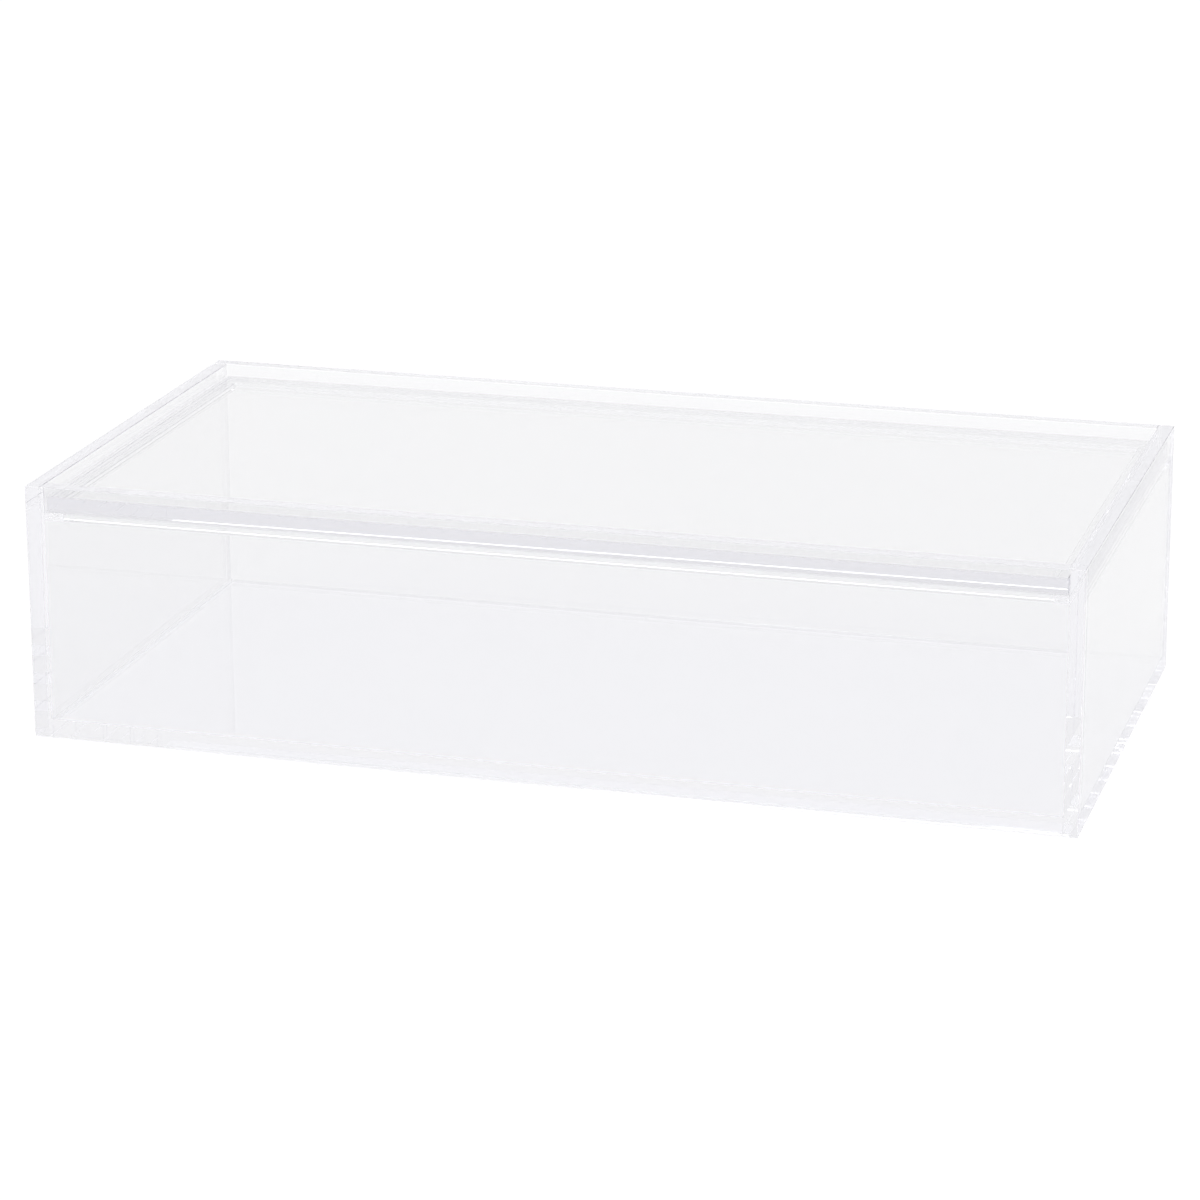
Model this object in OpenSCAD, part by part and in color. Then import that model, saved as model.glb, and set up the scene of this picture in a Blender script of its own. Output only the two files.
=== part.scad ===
// Clear acrylic storage box with a loose lid that drops in between the walls.
// Millimetres. The origin is the centre of the underside, +X runs along the length,
// +Y goes from the front to the back and +Z is up.

/* [Box] */
// Outside length of the box
box_length = 200; // [80:1:400]
// Outside depth of the box, from the front to the back
box_depth = 100; // [60:1:250]
// Outside height of the walls
box_height = 49.5; // [25:0.5:150]
// Thickness of the sheet that the base and the walls are cut from
sheet = 3; // [2:0.5:6]
// Film of cement between two bonded sheets
cement_film = 0.02; // [0:0.01:0.1]

/* [Lid] */
// Thickness of the lid
lid_sheet = 3; // [2:0.5:6]
// Depth of the lid's upper face below the rim
lid_recess = 2.4; // [0:0.1:5]
// Gap between the edge of the lid and each wall
lid_gap = 0.4; // [0.1:0.05:1]
// Air left between the lid and the ledges that it rests on
lid_seat_air = 0.05; // [0:0.01:0.2]

/* [Ledges] */
// How far the ledges stand out from the walls
ledge_width = 3; // [1.5:0.5:6]
// Height of the ledges
ledge_height = 1.5; // [1:0.5:4]

/* [Finish] */
// Width of the flat that takes the sharp corner off every cut edge
arris = 0.1; // [0.05:0.05:0.4]

/* [Hidden] */

// Room between the inner faces of the walls
inner_length = box_length - 2 * sheet;
inner_depth = box_depth - 2 * sheet;
inner_right = inner_length / 2;
inner_back = inner_depth / 2;

// Each wall runs past one neighbour and stops against the other
long_wall = box_length - sheet - cement_film;
short_wall = box_depth - sheet - cement_film;

// Heights of the lid and of the ledges that carry it
lid_bottom = box_height - lid_recess - lid_sheet;
ledge_bottom = lid_bottom - lid_seat_air - ledge_height;

clear_acrylic = [0.93, 0.93, 0.96, 0.35];
clear_ledge = [0.90, 0.90, 0.95, 0.45];
clear_lid = [0.95, 0.95, 0.98, 0.35];

// Outline of a rectangle with its four corners cut off at 45 degrees
module trimmed_rectangle(width, height, trim) {
    polygon([
        [trim, 0], [width - trim, 0], [width, trim], [width, height - trim],
        [width - trim, height], [trim, height], [0, height - trim], [0, trim]
    ]);
}

// A cut piece of sheet with one corner at the origin and a small flat along all twelve edges
module cut_sheet(length, depth, height) {
    intersection() {
        linear_extrude(height)
            trimmed_rectangle(length, depth, arris);
        translate([0, depth, 0])
            rotate([90, 0, 0])
                linear_extrude(depth)
                    trimmed_rectangle(length, height, arris);
        rotate([90, 0, 90])
            linear_extrude(length)
                trimmed_rectangle(depth, height, arris);
    }
}

// The base lies between the walls, level with their lower edges
module base() {
    color(clear_acrylic)
        translate([cement_film - inner_right, cement_film - inner_back, 0])
            cut_sheet(inner_length - 2 * cement_film, inner_depth - 2 * cement_film, sheet);
}

// The front wall starts at the left wall and covers the right wall's end
module front_wall() {
    color(clear_acrylic)
        translate([box_length / 2 - long_wall, -box_depth / 2, 0])
            cut_sheet(long_wall, sheet, box_height);
}

// The back wall covers the left wall's end and stops at the right wall
module back_wall() {
    color(clear_acrylic)
        translate([-box_length / 2, inner_back, 0])
            cut_sheet(long_wall, sheet, box_height);
}

// The left wall's front end is level with the front face
module left_wall() {
    color(clear_acrylic)
        translate([-box_length / 2, -box_depth / 2, 0])
            cut_sheet(sheet, short_wall, box_height);
}

// The right wall's back end is level with the back face
module right_wall() {
    color(clear_acrylic)
        translate([inner_right, box_depth / 2 - short_wall, 0])
            cut_sheet(sheet, short_wall, box_height);
}

// A ledge along a long wall, with its low left corner at the given depth
module long_ledge(y) {
    color(clear_ledge)
        translate([cement_film - inner_right, y, ledge_bottom])
            cut_sheet(inner_length - 2 * cement_film, ledge_width, ledge_height);
}

// A ledge along a short wall, fitted between the two long ledges
module short_ledge(x) {
    ledge_end = inner_back - ledge_width - 2 * cement_film;
    color(clear_ledge)
        translate([x, -ledge_end, ledge_bottom])
            cut_sheet(ledge_width, 2 * ledge_end, ledge_height);
}

module front_ledge() { long_ledge(cement_film - inner_back); }
module back_ledge() { long_ledge(inner_back - ledge_width - cement_film); }
module left_ledge() { short_ledge(cement_film - inner_right); }
module right_ledge() { short_ledge(inner_right - ledge_width - cement_film); }

// The lid drops in between the walls and rests on the ledges
module lid() {
    color(clear_lid)
        translate([lid_gap - inner_right, lid_gap - inner_back, lid_bottom])
            cut_sheet(inner_length - 2 * lid_gap, inner_depth - 2 * lid_gap, lid_sheet);
}

base();
front_wall();
back_wall();
left_wall();
right_wall();
front_ledge();
back_ledge();
left_ledge();
right_ledge();
lid();
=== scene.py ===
from functools import reduce
from math import radians

import bmesh
import bpy
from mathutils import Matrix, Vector


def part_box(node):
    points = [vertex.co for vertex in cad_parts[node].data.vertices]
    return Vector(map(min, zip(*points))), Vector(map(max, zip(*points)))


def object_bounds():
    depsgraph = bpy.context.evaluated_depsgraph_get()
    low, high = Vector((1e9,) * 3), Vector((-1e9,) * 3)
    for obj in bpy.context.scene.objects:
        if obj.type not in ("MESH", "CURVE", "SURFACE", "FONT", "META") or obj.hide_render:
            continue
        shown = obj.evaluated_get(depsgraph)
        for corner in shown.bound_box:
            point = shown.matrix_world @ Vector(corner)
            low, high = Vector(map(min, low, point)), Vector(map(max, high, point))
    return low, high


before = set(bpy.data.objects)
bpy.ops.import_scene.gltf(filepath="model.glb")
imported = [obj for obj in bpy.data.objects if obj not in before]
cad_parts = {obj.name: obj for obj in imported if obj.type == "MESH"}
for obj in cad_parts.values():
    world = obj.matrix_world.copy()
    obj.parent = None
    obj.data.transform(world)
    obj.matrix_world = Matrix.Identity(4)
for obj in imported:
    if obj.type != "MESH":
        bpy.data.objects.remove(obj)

cadLow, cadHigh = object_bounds()
scene = bpy.context.scene
white = (1, 1, 1, 1)
print("frame loaded, box in mm:", [round(1000 * side, 2) for side in cadHigh - cadLow])


class Wire:
    # one output socket, so that shader maths reads as plain expressions

    def __init__(self, shader, socket):
        self.shader = shader
        self.socket = socket

    def maths(self, operation, *values):
        return self.shader.node("ShaderNodeMath", {"operation": operation}, *values)

    def __add__(self, other):
        return self.maths("ADD", self, other)

    def __radd__(self, other):
        return self.maths("ADD", other, self)

    def __sub__(self, other):
        return self.maths("SUBTRACT", self, other)

    def __rsub__(self, other):
        return self.maths("SUBTRACT", other, self)

    def __mul__(self, other):
        return self.maths("MULTIPLY", self, other)

    def __rmul__(self, other):
        return self.maths("MULTIPLY", other, self)

    def above(self, edge, softness):
        # 0 below the edge, 1 above it, with a soft step between
        return self.shader.node(
            "ShaderNodeMapRange",
            {"interpolation_type": "SMOOTHSTEP"},
            self, edge - softness, edge + softness, 0.0, 1.0,
        )

    def between(self, low, high):
        # 1 where the value lies between two numbers, otherwise 0
        middle = (low + high) / 2
        return self.maths("COMPARE", self, middle, (high - low) / 2)

    def larger(self, other):
        return self.maths("MAXIMUM", self, other)

    def unsigned(self):
        return self.maths("ABSOLUTE", self)


class Shader:
    def __init__(self, owner):
        owner.use_nodes = True
        self.tree = owner.node_tree
        self.tree.nodes.clear()

    def fill(self, socket, value):
        if isinstance(value, Wire):
            self.tree.links.new(value.socket, socket)
        elif value is not None:
            socket.default_value = value

    def node(self, kind, settings=None, *values, out=0, **named):
        # values fill the sockets in their order, and None leaves one as it is
        made = self.tree.nodes.new(kind)
        for setting, value in (settings or {}).items():
            setattr(made, setting, value)
        for place, value in enumerate(values):
            self.fill(made.inputs[place], value)
        for name, value in named.items():
            self.fill(made.inputs[name.replace("_", " ")], value)
        return Wire(self, made.outputs[out]) if made.outputs else None

    def mixColour(self, share, first, second):
        # the Mix node's colours are its sockets 6 and 7, and the mixed colour is its output 2
        unused = [None] * 5
        return self.node("ShaderNodeMix", {"data_type": "RGBA"}, share, *unused, first, second, out=2)

    def noise(self, spot, size, detail, stretch=(1, 1, 1)):
        # size is the width of a patch in metres
        placed = self.node("ShaderNodeMapping", None, spot, Scale=stretch)
        return self.node("ShaderNodeTexNoise", None, placed, Scale=1 / size, Detail=detail)

    def ray(self, name):
        return self.node("ShaderNodeLightPath", None, out=name)

    def backgroundRays(self):
        # 1 for the rays that show the background: straight, reflected or through the acrylic
        seen = self.ray("Is Camera Ray").larger(self.ray("Is Glossy Ray"))
        return seen.larger(self.ray("Is Transmission Ray"))


# Camera

cameraValues = {
    "place": (0.21351, -0.73637, 0.26204),
    "turn": (73.556, 0.580, 17.537),
    "lens": 124.72,
    "shift": (0.0796, -0.0626),
    "sensor": 36.0,
    "nearest": 0.01,
}


def makeCamera(values):
    data = bpy.data.cameras.new("photoCamera")
    camera = bpy.data.objects.new("photoCamera", data)
    scene.collection.objects.link(camera)
    data.sensor_width = values["sensor"]
    data.lens = values["lens"]
    data.shift_x, data.shift_y = values["shift"]
    data.clip_start = values["nearest"]
    camera.location = values["place"]
    camera.rotation_euler = [radians(angle) for angle in values["turn"]]
    scene.camera = camera


makeCamera(cameraValues)
print("camera placed")

# Light runs along inside a sheet as in a light guide, and turns many times before it comes out
lightTurns = 200
scene.cycles.max_bounces = lightTurns
scene.cycles.glossy_bounces = lightTurns
scene.cycles.transmission_bounces = lightTurns
scene.cycles.transparent_max_bounces = lightTurns

# Acrylic sheets

acrylicValues = {
    "index": 1.49,
    "face": (0.928, 0.928, 0.934, 1),
    "cutEdge": (0.985, 0.983, 0.998, 1),
    "bodyTint": (0.80, 0.79, 0.87, 1),
    "density": 2.0,
    "shadow": (0.985, 0.985, 0.99, 1),  # what each surface lets through to shadow and diffuse rays
    "edgeLevel": 0.5,  # a surface whose normal has less than this across the sheet is a cut edge
    "edgeSoftness": 0.1,
    "faceRoughness": 0.004,
    "smudgeRoughness": 0.012,
    "smudgeSize": 0.035,
    "smudgeDetail": 3.0,
    "smudgeLevel": 0.55,
    "smudgeSoftness": 0.15,
    "waveSize": 0.06,
    "waveDetail": 1.0,
    "waveHeight": 0.000002,
    "sawSize": 0.0006,
    "sawDetail": 2.0,
    "sawStretch": (1, 1, 0.1),
    "sawHeight": 0.0000002,
    "cementReach": 0.00003,  # a point this near to a bonded neighbour lies in the cement
}
# the axis across each sheet, how light or dark its faces and cut edges are drawn, and how rough its cut
# edges; the face and edge factors are painted light and shade on copies of one acrylic, with the base
# made lighter to cancel the shade that falls under it
sheetValues = {
    "base": {"thin": "Z", "face": 1.06, "edge": 0.94, "edgeRoughness": 0.01},
    "lid": {"thin": "Z", "face": 0.985, "edge": 0.93, "edgeRoughness": 0.01},
    "front_wall": {"thin": "Y", "face": 1.0, "edge": 0.86, "edgeRoughness": 0.01},
    "back_wall": {"thin": "Y", "face": 1.0, "edge": 0.86, "edgeRoughness": 0.01},
    "left_wall": {"thin": "X", "face": 0.985, "edge": 0.88, "edgeRoughness": 0.01},
    "right_wall": {"thin": "X", "face": 0.91, "edge": 0.87, "edgeRoughness": 0.01},
    "front_ledge": {"thin": "Z", "face": 0.95, "edge": 0.90, "edgeRoughness": 0.08},
    "back_ledge": {"thin": "Z", "face": 1.05, "edge": 1.0, "edgeRoughness": 0.08},
    "left_ledge": {"thin": "Z", "face": 1.05, "edge": 1.0, "edgeRoughness": 0.08},
    "right_ledge": {"thin": "Z", "face": 1.05, "edge": 1.0, "edgeRoughness": 0.08},
}
bondedTo = {
    "base": ["front_wall", "back_wall", "left_wall", "right_wall"],
    "lid": [],
    "front_wall": ["base", "left_wall", "right_wall", "front_ledge", "left_ledge", "right_ledge"],
    "back_wall": ["base", "left_wall", "right_wall", "back_ledge", "left_ledge", "right_ledge"],
    "left_wall": ["base", "front_wall", "back_wall", "left_ledge", "front_ledge", "back_ledge"],
    "right_wall": ["base", "front_wall", "back_wall", "right_ledge", "front_ledge", "back_ledge"],
    "front_ledge": ["front_wall", "left_wall", "right_wall", "left_ledge", "right_ledge"],
    "back_ledge": ["back_wall", "left_wall", "right_wall", "left_ledge", "right_ledge"],
    "left_ledge": ["left_wall", "front_ledge", "back_ledge"],
    "right_ledge": ["right_wall", "front_ledge", "back_ledge"],
}


def cementMask(shader, spot, neighbours, reach):
    # 1 where the surface is cemented to a neighbour, so that light goes straight through there
    sides = [shader.node("ShaderNodeSeparateXYZ", None, spot, out=axis) for axis in "XYZ"]
    masks = []
    for neighbour in neighbours:
        low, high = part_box(neighbour)
        spans = zip(sides, low, high)
        nearX, nearY, nearZ = [side.between(least - reach, most + reach) for side, least, most in spans]
        masks.append(nearX * nearY * nearZ)
    return reduce(Wire.larger, masks)


def makeAcrylic(name, sheet, values):
    material = bpy.data.materials.new(name + "Acrylic")
    shader = Shader(material)
    spot = shader.node("ShaderNodeTexCoord", None, out="Object")
    facing = shader.node("ShaderNodeTexCoord", None, out="Normal")
    across = shader.node("ShaderNodeSeparateXYZ", None, facing, out=sheet["thin"])
    cutEdge = 1 - across.unsigned().above(values["edgeLevel"], values["edgeSoftness"])
    # painted light and shade: the sheet's face and edge factors make its faces and cut edges lighter or
    # darker than the same acrylic on other sheets
    face = [min(1.0, part * sheet["face"]) for part in values["face"]]
    edge = [part * sheet["edge"] for part in values["cutEdge"]]
    colour = shader.mixColour(cutEdge, face, edge)
    smudge = shader.noise(spot, values["smudgeSize"], values["smudgeDetail"])
    smudge = smudge.above(values["smudgeLevel"], values["smudgeSoftness"])
    faceGloss = values["faceRoughness"] + smudge * values["smudgeRoughness"]
    roughness = faceGloss + cutEdge * sheet["edgeRoughness"]
    wave = shader.noise(spot, values["waveSize"], values["waveDetail"]) * values["waveHeight"]
    saw = shader.noise(spot, values["sawSize"], values["sawDetail"], values["sawStretch"])
    height = wave + saw * cutEdge * values["sawHeight"]
    # the height is in metres, as its distance of 1 leaves it
    bump = shader.node("ShaderNodeBump", None, Strength=1.0, Distance=1.0, Height=height)
    body = shader.node(
        "ShaderNodeBsdfPrincipled", None,
        Base_Color=colour, Roughness=roughness, IOR=values["index"],
        Transmission_Weight=1.0, Normal=bump,
    )
    # shadow and diffuse rays go straight through, so that light reaches what lies behind a sheet
    clear = shader.node("ShaderNodeBsdfTransparent", None, values["shadow"])
    letThrough = shader.ray("Is Shadow Ray").larger(shader.ray("Is Diffuse Ray"))
    surface = shader.node("ShaderNodeMixShader", None, letThrough, body, clear)
    if bondedTo[name]:
        cemented = cementMask(shader, spot, bondedTo[name], values["cementReach"])
        throughCement = shader.node("ShaderNodeBsdfTransparent", None, white)
        surface = shader.node("ShaderNodeMixShader", None, cemented, surface, throughCement)
    inside = shader.node("ShaderNodeVolumeAbsorption", None, values["bodyTint"], values["density"])
    shader.node("ShaderNodeOutputMaterial", None, surface, inside)
    return material


for sheetName, sheet in sheetValues.items():
    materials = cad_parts[sheetName].data.materials
    materials.clear()
    materials.append(makeAcrylic(sheetName, sheet, acrylicValues))
print("acrylic on", len(sheetValues), "sheets")

# Floor, world and lamp

studioValues = {
    "floorSize": 3.0,
    "floorDrop": 0.0001,  # a hair's breadth under the box, so that the two don't share a plane
    "floorColour": (0.80, 0.80, 0.80, 1),
    "floorGlow": 0.16,
    "skyDark": (0.55, 0.55, 0.57, 1),
    "skyLight": (1.0, 1.0, 1.0, 1),
    "skyDarkAt": -0.9,
    "skyLightAt": 0.05,
    "lampFrom": (-0.45, -0.35, 1.0),
    "lampSpread": 40,
    "lampStrength": 0.8,
}


def makeFloor(values):
    mesh = bpy.data.meshes.new("floor")
    bm = bmesh.new()
    bmesh.ops.create_grid(bm, x_segments=1, y_segments=1, size=values["floorSize"])
    bmesh.ops.translate(bm, verts=bm.verts, vec=(0, 0, cadLow.z - values["floorDrop"]))
    bm.to_mesh(mesh)
    bm.free()
    floor = bpy.data.objects.new("floor", mesh)
    scene.collection.objects.link(floor)
    material = bpy.data.materials.new("paleFloor")
    shader = Shader(material)
    matt = shader.node("ShaderNodeBsdfDiffuse", None, values["floorColour"])
    glowing = shader.backgroundRays() * values["floorGlow"]
    glow = shader.node("ShaderNodeEmission", None, white, glowing)
    both = shader.node("ShaderNodeAddShader", None, matt, glow)
    shader.node("ShaderNodeOutputMaterial", None, both)
    mesh.materials.append(material)


def makeWorld(values):
    world = bpy.data.worlds.new("studio")
    scene.world = world
    shader = Shader(world)
    way = shader.node("ShaderNodeTexCoord", None, out="Generated")
    depth = shader.node("ShaderNodeSeparateXYZ", None, way, out="Y")
    share = shader.node(
        "ShaderNodeMapRange", None, depth, values["skyDarkAt"], values["skyLightAt"], 0.0, 1.0
    )
    sky = shader.mixColour(share, values["skyDark"], values["skyLight"])
    colour = shader.mixColour(shader.backgroundRays(), sky, white)
    light = shader.node("ShaderNodeBackground", None, colour, 1.0)
    shader.node("ShaderNodeOutputWorld", None, light)


def makeLamp(values):
    data = bpy.data.lights.new("softLamp", "SUN")
    data.angle = radians(values["lampSpread"])
    data.energy = values["lampStrength"]
    lamp = bpy.data.objects.new("softLamp", data)
    scene.collection.objects.link(lamp)
    lamp.rotation_euler = Vector(values["lampFrom"]).to_track_quat("Z", "Y").to_euler()


makeFloor(studioValues)
makeWorld(studioValues)
makeLamp(studioValues)
scene.view_settings.view_transform = "Standard"
print("floor, world and lamp made")
